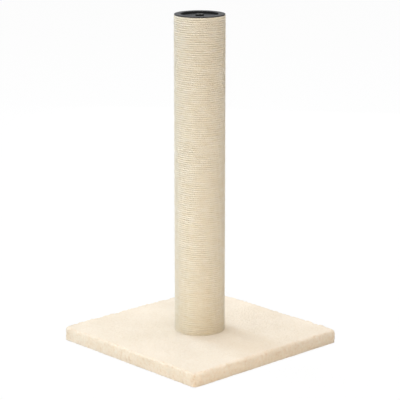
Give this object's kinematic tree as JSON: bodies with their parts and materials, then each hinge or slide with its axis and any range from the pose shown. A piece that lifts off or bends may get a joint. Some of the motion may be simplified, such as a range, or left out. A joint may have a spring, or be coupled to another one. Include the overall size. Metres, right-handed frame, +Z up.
{
  "type": "cat scratching post",
  "caption": "Free-standing scratching post: a rope-wound cardboard tube with plastic end plugs, bolted from below to a square board covered in plush",
  "frame": {"origin": "on the floor, on the post's axis, at the middle of the base", "axes": "+Z up along the post; X and Y along the sides of the square base; the picture looks at the +X and -Y sides"},
  "size_m": [0.35, 0.35, 0.6],
  "materials": {
    "particle_board": "raw particle board, sawn edges",
    "plush": "short cream plush pile on a knitted backing",
    "staple_wire": "galvanised flat staple wire",
    "zinc_bolt": "bright zinc plating",
    "zinc_washer": "bright zinc plating",
    "zinc_insert": "dull zinc plating",
    "black_plug": "satin black injection moulding",
    "kraft_tube": "brown spiral-wound kraft board",
    "sisal": "undyed twisted sisal rope, slightly hairy"
  },
  "bodies": {
    "root": {"base_board": "particle_board", "plush_cover": "plush", "hem_staples": "staple_wire", "base_bolt": "zinc_bolt", "bolt_washer": "zinc_washer", "bottom_plug": "black_plug", "bottom_insert": "zinc_insert", "core_tube": "kraft_tube", "sisal_rope": "sisal", "rope_staples": "staple_wire", "top_plug": "black_plug", "top_insert": "zinc_insert"}
  },
  "joints": []
}
